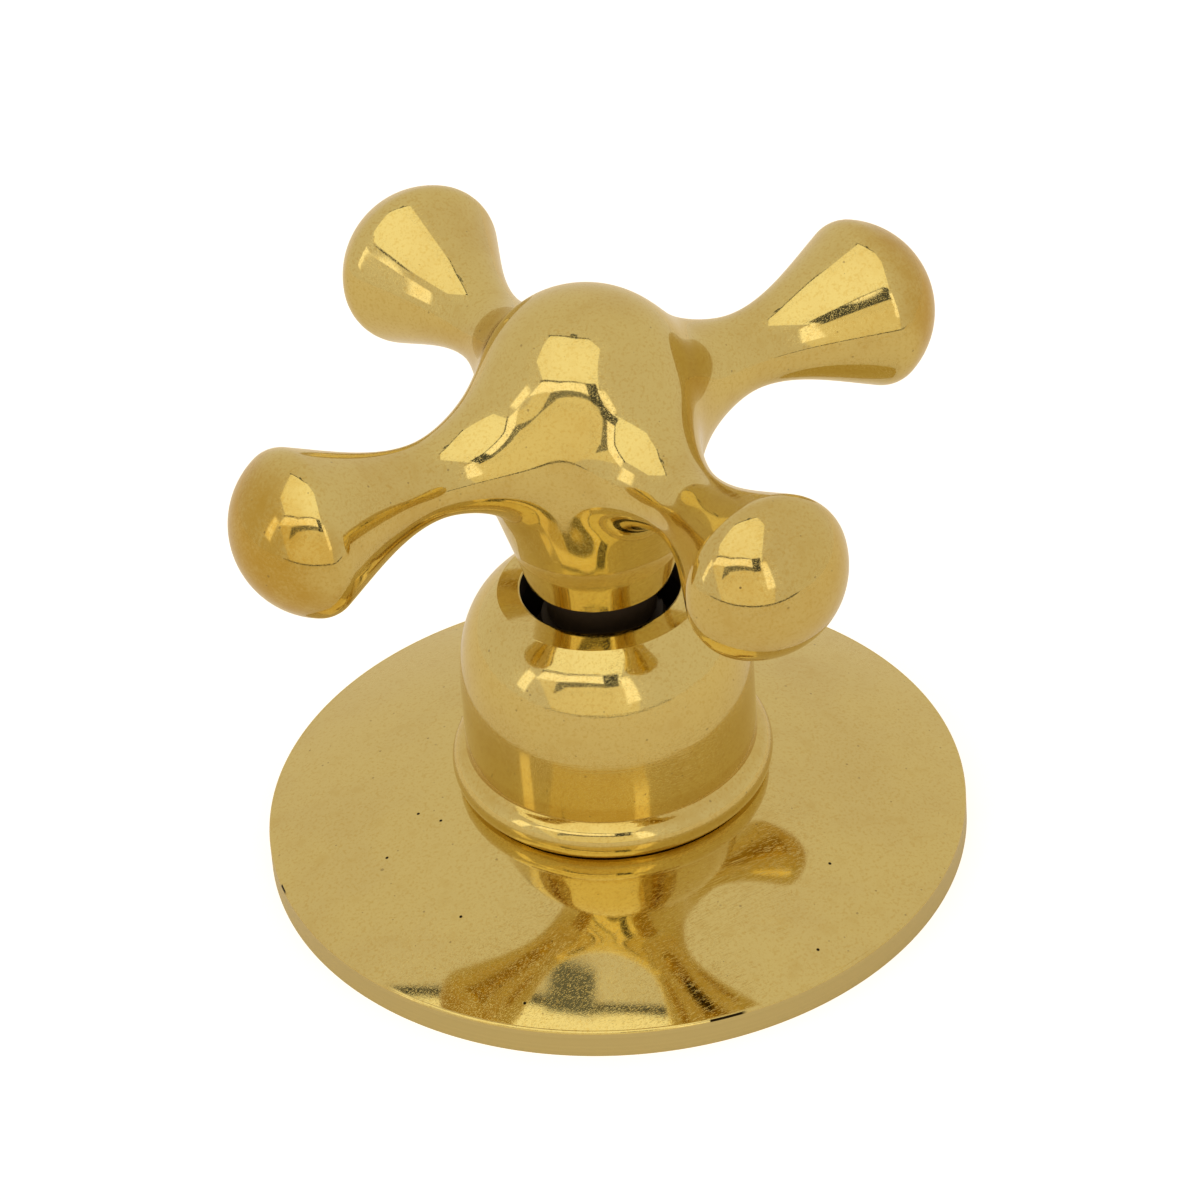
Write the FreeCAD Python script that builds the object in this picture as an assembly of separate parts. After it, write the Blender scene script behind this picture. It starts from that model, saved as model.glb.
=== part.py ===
"""Concealed wall valve with a polished brass cross handle.

The frame: millimetres, the finished wall is the plane z = 0, and +Z runs along the spindle, out of
the wall. The handle's arms lie along X and Y. The valve is drawn closed. Threads are plain cylinders
with a clearance.
"""
import FreeCAD, Part
import math
import os

from FreeCAD import Vector

os.makedirs("parts", exist_ok=True)

# Clearances
THREAD_CLEAR = 0.05
RUN_CLEAR = 0.05
GUIDE_CLEAR = 0.1
SEAL_CLEAR = 0.02
SLIP_CLEAR = 0.3
STOP_CLEAR = 0.5

# Wall plate
PLATE_R = 35.0
RIM_HEIGHT = 3.0
RIM_ROUND = 0.5
DOME_SAG = 0.5
SEAT_Z = 8.0
SEAT_MARGIN = 0.6
PLATE_BORE_STEP = 0.25
PLATE_WALL = 2.5
RIM_LAND = 3.5
GASKET_WIDTH = 4.0
GASKET_THICKNESS = 1.6

# Bell
BELL_WALL = 1.6
LIP_WIDTH = 2.3
LIP_THICKNESS = 1.8
MOUTH_STEP = 0.6
NECK_GAP = 2.5
SHOULDER_STEP = 1.9
SHOULDER_DROP = 2.5
CURVE_HEIGHT = 11.2
BEAD_STEP = 1.45
BEAD_HEIGHT = 4.25
FOOT_STEP = 0.35
BELL_THREAD_BASE = 2.0
BELL_THREAD_LENGTH = 5.0
BELL_THREAD_DEPTH = 1.5
BELL_SEAL_STEP = 0.9
BELL_SEAL_SECTION = 0.96

# Headwork body
COLLAR_Z = -2.0
COLLAR_STEP = 2.62
COLLAR_THICKNESS = 2.5
FIBRE_THICKNESS = 1.2
NOSE_R = 10.48
NOSE_LENGTH = 8.2
NOSE_CHAMFER = 0.8
RELIEF_DEPTH = 0.88
SPANNER_STEP = 0.52
SPANNER_HEIGHT = 4.8
UPPER_THREAD_R = 9.6
STUB_WALL = 2.5
STUB_LENGTH = 6.0
STUB_CHAMFER = 0.6
SHOULDER_DEPTH = 12.5

# Extension sleeve and its lock nut
SLEEVE_WALL = 1.75
SLEEVE_LENGTH = 12.2
LOCK_NUT_THICKNESS = 2.5
LOCK_NUT_WALL = 1.0

# Spindle
SPINDLE_R = 4.25
SPINDLE_COLLAR_STEP = 1.95
SPINDLE_COLLAR_THICKNESS = 2.0
THRUST_THICKNESS = 0.7
BEARING_THICKNESS = 0.6
CIRCLIP_THICKNESS = 0.8
CIRCLIP_STEP = 1.75
CIRCLIP_DEPTH = 0.65
CIRCLIP_GAP = 4.0
DRIVE_R = 3.45
O_RING_SECTION = 1.5
O_RING_GROOVE = 2.0
O_RING_PITCH = 4.5
O_RING_TOP = 3.5
SPLINE_STEP = 0.25
SPLINE_TEETH = 20
TOOTH_DEPTH = 0.4
SPINDLE_SPLINE_LENGTH = 6.2

# Spindle extension and its screw
EXTENSION_WALL = 1.35
EXTENSION_GAP = 0.7
SHOULDER_WEB = 1.3
SHOULDER_LAND = 0.9
HANDLE_SPLINE_LENGTH = 10.5
SCREW_R = 1.7
SCREW_GRIP = 7.0
SCREW_HEAD_R = 3.0
SCREW_HEAD_HEIGHT = 2.4
SCREW_SINK = 1.6
SOCKET_AF = 2.5
SOCKET_DEPTH = 1.4

# Cross handle, its hub's heights measured from the arms
NECK_SINK = 2.25
NECK_WALL = 1.8
BELLY_R = 10.3
BELLY_DROP = 6.9
HUB_R = 10.8
HUB_RISE = 0.6
CROWN_R = 9.5
CROWN_RISE = 8.1
DOME_R = 6.6
DOME_RISE = 11.0
TOP_RISE = 13.0
ARM_RISE = 18.2
ARM_COUNT = 4
ARM_ROOT_R = 7.0
ARM_ROOT_END = 7.0
ARM_NECK_R = 3.85
ARM_NECK_AT = 18.0
ARM_LENGTH = 38.3
KNOB_R = 8.45
KNOB_DEPTH = 6.55
KNOB_EDGE_R = 2.9
FLANK_SLOPE = 25.0
ARM_BLEND = 2.0
GRUB_R = 2.0
GRUB_HEIGHT = 6.2
GRUB_ANGLE = 45.0
GRUB_LENGTH = 4.9
GRUB_TIP = 0.6
GRUB_SOCKET_AF = 2.0

# Valve plug, its washer and the screw below it
LIFT = 5.0
PLUG_STEP = 0.3
FLANGE_THICKNESS = 1.8
FLANGE_CLEAR = 0.3
PLUG_WEB = 1.35
WASHER_R = 7.0
WASHER_THICKNESS = 3.2
RETAINER_R = 4.5
RETAINER_THICKNESS = 0.8
WASHER_SCREW_R = 1.95
WASHER_SCREW_GRIP = 3.9
WASHER_HEAD_R = 3.4
WASHER_HEAD_HEIGHT = 2.0
SLOT_WIDTH = 1.0
SLOT_DEPTH = 1.0

# The ball that ends each arm, worked out so that it runs smoothly into the knob's rounded edge
KNOB_AT = ARM_LENGTH - KNOB_DEPTH
KNOB_CORE_R = KNOB_R - KNOB_EDGE_R
BALL_R = (KNOB_DEPTH**2 + KNOB_CORE_R**2 - KNOB_EDGE_R**2) / (2 * (KNOB_DEPTH - KNOB_EDGE_R))
BALL_AT = ARM_LENGTH - BALL_R
BALL_EDGE = math.degrees(math.atan2(KNOB_CORE_R, KNOB_AT - BALL_AT))

# Radii, worked out from the upper thread of the headwork body outwards to the bell and the plate
SLEEVE_R = UPPER_THREAD_R + THREAD_CLEAR + SLEEVE_WALL
LOCK_NUT_AF = 2 * (UPPER_THREAD_R + THREAD_CLEAR + LOCK_NUT_WALL)
BELL_INNER_R = SLEEVE_R + THREAD_CLEAR + BELL_THREAD_DEPTH
BELL_R = BELL_INNER_R + BELL_WALL
BELL_SEAL_R = BELL_INNER_R + BELL_SEAL_STEP
SHOULDER_R = BELL_R - SHOULDER_STEP
BEAD_R = BELL_R + BEAD_STEP
FOOT_R = BELL_R + FOOT_STEP
SEAT_R = FOOT_R + SEAT_MARGIN
PLATE_BORE_R = BELL_INNER_R + PLATE_BORE_STEP

# Radii of the headwork's lower end, worked out from its nose
COLLAR_R = NOSE_R + COLLAR_STEP
RELIEF_R = NOSE_R - RELIEF_DEPTH
SPANNER_AF = 2 * (NOSE_R + SPANNER_STEP)

# Radii, worked out from the spindle outwards to the plug, the handle's neck and the bell's mouth
SPINDLE_COLLAR_R = SPINDLE_R + SPINDLE_COLLAR_STEP
PLUG_AF = 2 * (SPINDLE_COLLAR_R + PLUG_STEP)
FLANGE_R = PLUG_AF / math.sqrt(3)
COUNTERBORE_R = FLANGE_R + STOP_CLEAR
STUB_R = SPINDLE_R + RUN_CLEAR + STUB_WALL
CIRCLIP_R = SPINDLE_R + CIRCLIP_STEP
SPLINE_R = SPINDLE_R - SPLINE_STEP
EXTENSION_R = SPLINE_R + THREAD_CLEAR + EXTENSION_WALL
HANDLE_SPLINE_R = EXTENSION_R - SHOULDER_LAND
NECK_R = EXTENSION_R + GUIDE_CLEAR + NECK_WALL
MOUTH_R = NECK_R + MOUTH_STEP
LIP_R = MOUTH_R + LIP_WIDTH

# Heights along the spindle, worked out from the sizes above
FIBRE_Z = COLLAR_Z - FIBRE_THICKNESS
NOSE_END = FIBRE_Z - NOSE_LENGTH - NOSE_CHAMFER
SPANNER_Z = COLLAR_Z + COLLAR_THICKNESS
SLEEVE_Z = SPANNER_Z + SPANNER_HEIGHT
LOCK_NUT_Z = SLEEVE_Z + SLEEVE_LENGTH
STUB_Z = LOCK_NUT_Z + LOCK_NUT_THICKNESS
BODY_TOP = STUB_Z + STUB_LENGTH
BODY_SHOULDER = BODY_TOP - SHOULDER_DEPTH
COLLAR_TOP = BODY_SHOULDER - RUN_CLEAR - THRUST_THICKNESS
COLLAR_BASE = COLLAR_TOP - SPINDLE_COLLAR_THICKNESS
BEARING_Z = BODY_TOP + RUN_CLEAR
CIRCLIP_Z = BEARING_Z + BEARING_THICKNESS
SPLINE_Z = CIRCLIP_Z + CIRCLIP_THICKNESS
SPINDLE_TOP = SPLINE_Z + SPINDLE_SPLINE_LENGTH
EXTENSION_Z = SPLINE_Z + EXTENSION_GAP
EXTENSION_SHOULDER = SPINDLE_TOP + SHOULDER_WEB
EXTENSION_TOP = EXTENSION_SHOULDER + HANDLE_SPLINE_LENGTH
SCREW_SEAT = EXTENSION_TOP - SCREW_SINK - SCREW_HEAD_HEIGHT
SCREW_END = SPINDLE_TOP - SCREW_GRIP
NECK_Z = EXTENSION_SHOULDER - NECK_SINK
GRUB_Z = NECK_Z + GRUB_HEIGHT
ARM_Z = NECK_Z + ARM_RISE
LIP_Z = NECK_Z - NECK_GAP
BELL_STRAIGHT_Z = LIP_Z - CURVE_HEIGHT
PLUG_TOP = COLLAR_BASE - LIFT - STOP_CLEAR
FLANGE_TOP = NOSE_END - FLANGE_CLEAR
FLANGE_BASE = FLANGE_TOP - FLANGE_THICKNESS
WASHER_BASE = FLANGE_BASE - WASHER_THICKNESS
RETAINER_BASE = WASHER_BASE - RETAINER_THICKNESS
COUNTERBORE_TOP = NOSE_END + LIFT + STOP_CLEAR
WASHER_SCREW_END = FLANGE_BASE + WASHER_SCREW_GRIP
DRIVE_BORE_END = WASHER_SCREW_END + SLIP_CLEAR + PLUG_WEB
DRIVE_END = DRIVE_BORE_END + LIFT + STOP_CLEAR


# Shape helpers
def point(r, z):
    return Vector(r, 0, z)


def line(a, b):
    return Part.LineSegment(point(*a), point(*b)).toShape()


def arc(a, middle, b):
    return Part.Arc(point(*a), point(*middle), point(*b)).toShape()


def curve(points, start_direction, end_direction):
    """A smooth curve through the points, leaving and arriving along the given directions."""
    spline = Part.BSplineCurve()
    spline.interpolate(
        Points=[point(*p) for p in points],
        InitialTangent=point(*start_direction),
        FinalTangent=point(*end_direction),
    )
    return spline.toShape()


def bezier(poles):
    path = Part.BezierCurve()
    path.setPoles([point(*p) for p in poles])
    return path.toShape()


def corners(points):
    return [line(a, b) for a, b in zip(points, points[1:] + points[:1])]


def turned(edges):
    """A solid of revolution about Z from the edges of a closed outline in the XZ plane."""
    face = Part.Face(Part.Wire(Part.__sortEdges__(edges)))
    return face.revolve(Vector(0, 0, 0), Vector(0, 0, 1), 360)


def disc(r, base, top):
    return Part.makeCylinder(r, top - base, Vector(0, 0, base))


def ring(inner_r, outer_r, base, top):
    return disc(outer_r, base, top).cut(disc(inner_r, base, top))


def rubber_ring(r, section, z):
    return Part.makeTorus(r, section / 2, Vector(0, 0, z))


def prism(outline, base, top):
    wire = Part.makePolygon([Vector(x, y, base) for x, y in outline + outline[:1]])
    return Part.Face(wire).extrude(Vector(0, 0, top - base))


def hexagon(across_flats, base, top):
    r = across_flats / math.sqrt(3)
    turns = [math.radians(60 * k) for k in range(6)]
    return prism([(r * math.cos(t), r * math.sin(t)) for t in turns], base, top)


def spline(tip_r, base, top, clear=0.0):
    """A prism with pointed teeth; the clearance grows tips and roots alike, for a socket."""
    outline = []
    for k in range(2 * SPLINE_TEETH):
        r = tip_r + clear - TOOTH_DEPTH * (k % 2)
        turn = math.pi * k / SPLINE_TEETH
        outline.append((r * math.cos(turn), r * math.sin(turn)))
    return prism(outline, base, top)


def bulged(a, b, sag):
    """The middle of the arc from a to b that stands out to the left of its chord by the sag."""
    length = math.hypot(b[0] - a[0], b[1] - a[1])
    side = ((a[1] - b[1]) / length, (b[0] - a[0]) / length)
    return ((a[0] + b[0]) / 2 + sag * side[0], (a[1] + b[1]) / 2 + sag * side[1])


# Pieces held by the wall
def wall_plate():
    rim_edge = (PLATE_R - RIM_ROUND, RIM_HEIGHT)
    rim_side = (PLATE_R, RIM_HEIGHT - RIM_ROUND)
    half = RIM_ROUND * (1 - math.sqrt(0.5))
    seat = (SEAT_R, SEAT_Z)
    recess_r = PLATE_R - RIM_LAND
    step_r = recess_r - GASKET_WIDTH
    slope = (SEAT_Z - RIM_HEIGHT) / (rim_edge[0] - SEAT_R)
    step_z = SEAT_Z - PLATE_WALL - slope * (step_r - SEAT_R)
    outline = [
        (PLATE_BORE_R, SEAT_Z - PLATE_WALL),
        (SEAT_R, SEAT_Z - PLATE_WALL),
        (step_r, step_z),
        (step_r, GASKET_THICKNESS),
        (recess_r, GASKET_THICKNESS),
        (recess_r, 0),
        (PLATE_R, 0),
        rim_side,
    ]
    edges = [line(a, b) for a, b in zip(outline, outline[1:])]
    edges.append(arc(rim_side, (PLATE_R - half, RIM_HEIGHT - half), rim_edge))
    edges.append(arc(rim_edge, bulged(seat, rim_edge, DOME_SAG), seat))
    edges.append(line(seat, (PLATE_BORE_R, SEAT_Z)))
    edges.append(line((PLATE_BORE_R, SEAT_Z), outline[0]))
    return turned(edges)


def wall_gasket():
    outer_r = PLATE_R - RIM_LAND
    return ring(outer_r - GASKET_WIDTH, outer_r, 0, GASKET_THICKNESS)


def bell():
    foot = (FOOT_R, SEAT_Z)
    bead_top = (BELL_R, SEAT_Z + BEAD_HEIGHT)
    straight_top = (BELL_R, BELL_STRAIGHT_Z)
    shoulder = (SHOULDER_R, LIP_Z - SHOULDER_DROP)
    lip = (LIP_R, LIP_Z)
    mouth_base = (MOUTH_R, LIP_Z - LIP_THICKNESS)
    inner_foot = (BELL_INNER_R, SEAT_Z)
    inner_top = (BELL_INNER_R, BELL_STRAIGHT_Z)
    inner_middle = (shoulder[0] - BELL_WALL, shoulder[1] - BELL_WALL)
    edges = [
        line(inner_foot, foot),
        arc(foot, (BEAD_R, SEAT_Z + BEAD_HEIGHT / 2), bead_top),
        line(bead_top, straight_top),
        curve([straight_top, shoulder, lip], (0, 1), (-1.3, 1)),
        line(lip, (MOUTH_R, LIP_Z)),
        line((MOUTH_R, LIP_Z), mouth_base),
        arc(mouth_base, inner_middle, inner_top),
        line(inner_top, inner_foot),
    ]
    thread_z = SEAT_Z + BELL_THREAD_BASE
    thread = ring(SLEEVE_R + THREAD_CLEAR, BELL_INNER_R, thread_z, thread_z + BELL_THREAD_LENGTH)
    half = BELL_SEAL_SECTION / 2 + SEAL_CLEAR
    groove = ring(BELL_SEAL_R - half, BELL_SEAL_R + half, SEAT_Z, SEAT_Z + 2 * half)
    return turned(edges).fuse(thread).cut(groove).removeSplitter()


def bell_seal():
    return rubber_ring(BELL_SEAL_R, BELL_SEAL_SECTION, SEAT_Z + BELL_SEAL_SECTION / 2 + SEAL_CLEAR)


def extension_sleeve():
    return ring(UPPER_THREAD_R + THREAD_CLEAR, SLEEVE_R, SLEEVE_Z, LOCK_NUT_Z)


def sleeve_lock_nut():
    nut = hexagon(LOCK_NUT_AF, LOCK_NUT_Z, STUB_Z)
    return nut.cut(disc(UPPER_THREAD_R + THREAD_CLEAR, LOCK_NUT_Z, STUB_Z))


def headwork_body():
    outline = [
        (0, NOSE_END),
        (NOSE_R - NOSE_CHAMFER, NOSE_END),
        (NOSE_R, NOSE_END + NOSE_CHAMFER),
        (NOSE_R, FIBRE_Z),
        (RELIEF_R, FIBRE_Z),
        (RELIEF_R, COLLAR_Z),
        (COLLAR_R, COLLAR_Z),
        (COLLAR_R, SPANNER_Z),
        (UPPER_THREAD_R, SPANNER_Z),
        (UPPER_THREAD_R, STUB_Z),
        (STUB_R, STUB_Z),
        (STUB_R, BODY_TOP - STUB_CHAMFER),
        (STUB_R - STUB_CHAMFER, BODY_TOP),
        (0, BODY_TOP),
    ]
    body = turned(corners(outline)).fuse(hexagon(SPANNER_AF, SPANNER_Z, SLEEVE_Z))
    body = body.cut(disc(COUNTERBORE_R, NOSE_END, COUNTERBORE_TOP))
    body = body.cut(hexagon(PLUG_AF, COUNTERBORE_TOP, BODY_SHOULDER))
    return body.cut(disc(SPINDLE_R + RUN_CLEAR, BODY_SHOULDER, BODY_TOP)).removeSplitter()


def body_gasket():
    return ring(RELIEF_R + SEAL_CLEAR, COLLAR_R, FIBRE_Z, COLLAR_Z)


# Pieces that turn with the handle
def o_ring_heights():
    top = BODY_TOP - O_RING_TOP
    return [top, top - O_RING_PITCH]


def spindle():
    outline = [
        (0, DRIVE_END),
        (DRIVE_R, DRIVE_END),
        (DRIVE_R, COLLAR_BASE),
        (SPINDLE_COLLAR_R, COLLAR_BASE),
        (SPINDLE_COLLAR_R, COLLAR_TOP),
        (SPINDLE_R, COLLAR_TOP),
        (SPINDLE_R, SPLINE_Z),
        (0, SPLINE_Z),
    ]
    stem = turned(corners(outline)).fuse(spline(SPLINE_R, SPLINE_Z, SPINDLE_TOP))
    groove_r = SPINDLE_R - O_RING_SECTION - SEAL_CLEAR
    for z in o_ring_heights():
        stem = stem.cut(ring(groove_r, SPINDLE_COLLAR_R, z - O_RING_GROOVE / 2, z + O_RING_GROOVE / 2))
    stem = stem.cut(ring(SPINDLE_R - CIRCLIP_DEPTH, SPINDLE_COLLAR_R, CIRCLIP_Z, SPLINE_Z))
    return stem.cut(disc(SCREW_R + THREAD_CLEAR, SCREW_END - STOP_CLEAR, SPINDLE_TOP))


def spindle_o_rings():
    r = SPINDLE_R - O_RING_SECTION / 2
    return Part.makeCompound([rubber_ring(r, O_RING_SECTION, z) for z in o_ring_heights()])


def thrust_washer():
    return ring(SPINDLE_R + THREAD_CLEAR, SPINDLE_COLLAR_R, COLLAR_TOP, COLLAR_TOP + THRUST_THICKNESS)


def bearing_washer():
    return ring(SPINDLE_R + THREAD_CLEAR, CIRCLIP_R, BEARING_Z, CIRCLIP_Z)


def spindle_circlip():
    inner_r = SPINDLE_R - CIRCLIP_DEPTH + SEAL_CLEAR
    gap = Part.makeBox(CIRCLIP_R, CIRCLIP_GAP, CIRCLIP_THICKNESS, Vector(0, -CIRCLIP_GAP / 2, CIRCLIP_Z))
    return ring(inner_r, CIRCLIP_R, CIRCLIP_Z, SPLINE_Z).cut(gap)


def spindle_extension():
    piece = disc(EXTENSION_R, EXTENSION_Z, EXTENSION_SHOULDER)
    piece = piece.fuse(spline(HANDLE_SPLINE_R, EXTENSION_SHOULDER, EXTENSION_TOP))
    piece = piece.cut(spline(SPLINE_R, EXTENSION_Z, SPINDLE_TOP, THREAD_CLEAR))
    piece = piece.cut(disc(SCREW_R + GUIDE_CLEAR, SPINDLE_TOP, SCREW_SEAT))
    piece = piece.cut(disc(SCREW_HEAD_R + GUIDE_CLEAR, SCREW_SEAT, EXTENSION_TOP))
    tip_r = HANDLE_SPLINE_R - TOOTH_DEPTH - GRUB_TIP
    half = GRUB_R + GUIDE_CLEAR
    return piece.cut(ring(tip_r, EXTENSION_R, GRUB_Z - half, GRUB_Z + half))


def extension_screw():
    head_top = SCREW_SEAT + SCREW_HEAD_HEIGHT
    screw = disc(SCREW_R, SCREW_END, SCREW_SEAT).fuse(disc(SCREW_HEAD_R, SCREW_SEAT, head_top))
    return screw.cut(hexagon(SOCKET_AF, head_top - SOCKET_DEPTH, head_top))


def handle_hub():
    neck = (NECK_R, NECK_Z)
    belly = (BELLY_R, ARM_Z - BELLY_DROP)
    widest = (HUB_R, ARM_Z + HUB_RISE)
    crown = (CROWN_R, ARM_Z + CROWN_RISE)
    dome = (DOME_R, ARM_Z + DOME_RISE)
    top = (0, ARM_Z + TOP_RISE)
    lean = (belly[0] - neck[0], belly[1] - neck[1])
    side = curve([neck, belly, widest, crown, dome, top], lean, (-1, 0))
    return turned([line((0, NECK_Z), neck), side, line(top, (0, NECK_Z))])


def round_the(centre, r, angle):
    """The point of a circle at this angle from the arm's direction."""
    turn = math.radians(angle)
    return (centre[0] + r * math.cos(turn), centre[1] + r * math.sin(turn))


def handle_arm():
    """One arm along X: a flared root, a slim neck, a conical flank, a rounded edge and a ball end."""
    axis = (0, ARM_Z)
    root = (ARM_ROOT_END, ARM_Z + ARM_ROOT_R)
    neck = (ARM_NECK_AT, ARM_Z + ARM_NECK_R)
    edge_centre = (KNOB_AT, ARM_Z + KNOB_CORE_R)
    flank = round_the(edge_centre, KNOB_EDGE_R, 90 + FLANK_SLOPE)
    widest = round_the(edge_centre, KNOB_EDGE_R, 90)
    ball_edge = round_the(edge_centre, KNOB_EDGE_R, BALL_EDGE)
    ball_middle = round_the((BALL_AT, ARM_Z), BALL_R, BALL_EDGE / 2)
    tip = (ARM_LENGTH, ARM_Z)
    flare = (ARM_NECK_AT - ARM_ROOT_END) / 3
    run = 0.33 * (flank[0] - ARM_NECK_AT)
    rise = run * math.tan(math.radians(FLANK_SLOPE))
    edges = [
        line(axis, (0, root[1])),
        line((0, root[1]), root),
        bezier([root, (root[0] + flare, root[1]), (neck[0] - flare, neck[1]), neck]),
        bezier([neck, (neck[0] + run, neck[1]), (flank[0] - run, flank[1] - rise), flank]),
        arc(flank, widest, ball_edge),
        arc(ball_edge, ball_middle, tip),
        line(tip, axis),
    ]
    return Part.Face(Part.Wire(edges)).revolve(Vector(0, 0, ARM_Z), Vector(1, 0, 0), 360)


def is_arm_root(edge):
    """True for the edges where an arm runs into the hub."""
    middle = edge.valueAt((edge.FirstParameter + edge.LastParameter) / 2)
    off_axis = math.hypot(middle.x, middle.y)
    off_arm = math.hypot(min(abs(middle.x), abs(middle.y)), middle.z - ARM_Z)
    return ARM_ROOT_END < off_axis < ARM_NECK_AT and ARM_NECK_R < off_arm < ARM_ROOT_R


def radial(shape):
    """Lays a shape that stands on the origin along +Z out from the spindle axis at the grub screw."""
    placed = shape.copy()
    placed.rotate(Vector(0, 0, 0), Vector(0, 1, 0), 90)
    placed.rotate(Vector(0, 0, 0), Vector(0, 0, 1), GRUB_ANGLE)
    placed.translate(Vector(0, 0, GRUB_Z))
    return placed


def cross_handle():
    handle = handle_hub()
    for k in range(ARM_COUNT):
        arm = handle_arm()
        arm.rotate(Vector(0, 0, 0), Vector(0, 0, 1), 360 * k / ARM_COUNT)
        handle = handle.fuse(arm)
    handle = handle.removeSplitter()
    handle = handle.makeFillet(ARM_BLEND, [edge for edge in handle.Edges if is_arm_root(edge)])
    handle = handle.cut(disc(EXTENSION_R + GUIDE_CLEAR, NECK_Z, EXTENSION_SHOULDER))
    socket_top = EXTENSION_TOP + STOP_CLEAR
    handle = handle.cut(spline(HANDLE_SPLINE_R, EXTENSION_SHOULDER, socket_top, THREAD_CLEAR))
    return handle.cut(radial(disc(GRUB_R + THREAD_CLEAR, 0, HUB_R)))


def handle_grub_screw():
    start = HANDLE_SPLINE_R - TOOTH_DEPTH - GRUB_TIP + SEAL_CLEAR
    end = start + GRUB_LENGTH
    tip = Part.makeCone(GRUB_R - GRUB_TIP, GRUB_R, GRUB_TIP, Vector(0, 0, start))
    screw = tip.fuse(disc(GRUB_R, start + GRUB_TIP, end))
    return radial(screw.cut(hexagon(GRUB_SOCKET_AF, end - SOCKET_DEPTH, end)))


# Pieces that slide with the plug
def valve_plug():
    plug = hexagon(PLUG_AF - 2 * GUIDE_CLEAR, FLANGE_TOP, PLUG_TOP)
    plug = plug.fuse(disc(FLANGE_R, FLANGE_BASE, FLANGE_TOP))
    plug = plug.cut(disc(DRIVE_R + RUN_CLEAR, DRIVE_BORE_END, PLUG_TOP))
    return plug.cut(disc(WASHER_SCREW_R + THREAD_CLEAR, FLANGE_BASE, WASHER_SCREW_END + SLIP_CLEAR))


def valve_washer():
    return ring(WASHER_SCREW_R + GUIDE_CLEAR, WASHER_R, WASHER_BASE, FLANGE_BASE)


def washer_plate():
    return ring(WASHER_SCREW_R + GUIDE_CLEAR, RETAINER_R, RETAINER_BASE, WASHER_BASE)


def washer_screw():
    head_base = RETAINER_BASE - WASHER_HEAD_HEIGHT
    screw = disc(WASHER_SCREW_R, RETAINER_BASE, WASHER_SCREW_END)
    screw = screw.fuse(disc(WASHER_HEAD_R, head_base, RETAINER_BASE))
    corner = Vector(-WASHER_HEAD_R, -SLOT_WIDTH / 2, head_base)
    return screw.cut(Part.makeBox(2 * WASHER_HEAD_R, SLOT_WIDTH, SLOT_DEPTH, corner))


PIECES = [
    wall_plate,
    wall_gasket,
    bell,
    bell_seal,
    extension_sleeve,
    sleeve_lock_nut,
    headwork_body,
    body_gasket,
    spindle,
    spindle_o_rings,
    thrust_washer,
    bearing_washer,
    spindle_circlip,
    spindle_extension,
    extension_screw,
    cross_handle,
    handle_grub_screw,
    valve_plug,
    valve_washer,
    washer_plate,
    washer_screw,
]

for make in PIECES:
    shape = make()
    shape.exportStep("parts/%s.step" % make.__name__)
    facts = (make.__name__, len(shape.Solids), shape.Volume, shape.isValid())
    print("%-20s %2d solids %9.1f mm3  valid %s" % facts)
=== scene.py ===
"""Looks of the concealed wall valve: polished brass plate, bell and cross handle, and the works within."""
import math

import bmesh
import bpy
import numpy as np
from mathutils import Matrix, Vector


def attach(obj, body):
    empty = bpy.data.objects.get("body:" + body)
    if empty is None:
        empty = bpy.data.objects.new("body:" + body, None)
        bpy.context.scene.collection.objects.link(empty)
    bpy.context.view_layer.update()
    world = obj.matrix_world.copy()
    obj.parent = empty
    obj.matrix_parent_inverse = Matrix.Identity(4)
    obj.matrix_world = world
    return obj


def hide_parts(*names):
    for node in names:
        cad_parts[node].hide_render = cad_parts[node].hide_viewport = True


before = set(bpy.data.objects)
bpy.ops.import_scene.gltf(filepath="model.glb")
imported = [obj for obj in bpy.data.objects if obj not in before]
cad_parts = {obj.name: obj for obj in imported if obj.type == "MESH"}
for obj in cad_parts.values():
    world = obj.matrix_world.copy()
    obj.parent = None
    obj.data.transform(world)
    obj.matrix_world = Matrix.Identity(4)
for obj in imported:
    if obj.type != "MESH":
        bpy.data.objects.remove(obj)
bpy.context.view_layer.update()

MM = 0.001


def rgba(r, g, b):
    return (r, g, b, 1.0)


# Sizes in millimetres. Most are those of the part's source. The hub, the arms' roots, the plate's rim edge
# and the bell's lip and foot follow the reflections and differ a little. The nose's thread is only here.
PLATE_R = 35.0
RIM_HEIGHT = 3.0
RIM_ROUND = 0.3
DOME_SAG = 0.5
SEAT_R = 15.5
SEAT_Z = 8.0
PLATE_BORE_R = 13.2
PLATE_WALL = 2.5
RIM_LAND = 3.5
GASKET_WIDTH = 4.0
GASKET_THICKNESS = 1.6

FOOT_R = 14.9
FOOT_GAP = 0.14
FOOT_REBATE = 0.7
BEAD_R = 16.0
BEAD_HEIGHT = 4.25
BELL_R = 14.55
BELL_INNER_R = 12.95
BELL_STRAIGHT_Z = 19.0
SHOULDER = (12.65, 27.7)
SHOULDER_END = (-1.3, 1)
LIP_R = 10.2
LIP_Z = 30.2
LIP_THICKNESS = 1.8
LIP_CROWN = 0.45
LIP_EDGE_R = 0.18
MOUTH_R = 7.9

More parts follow.
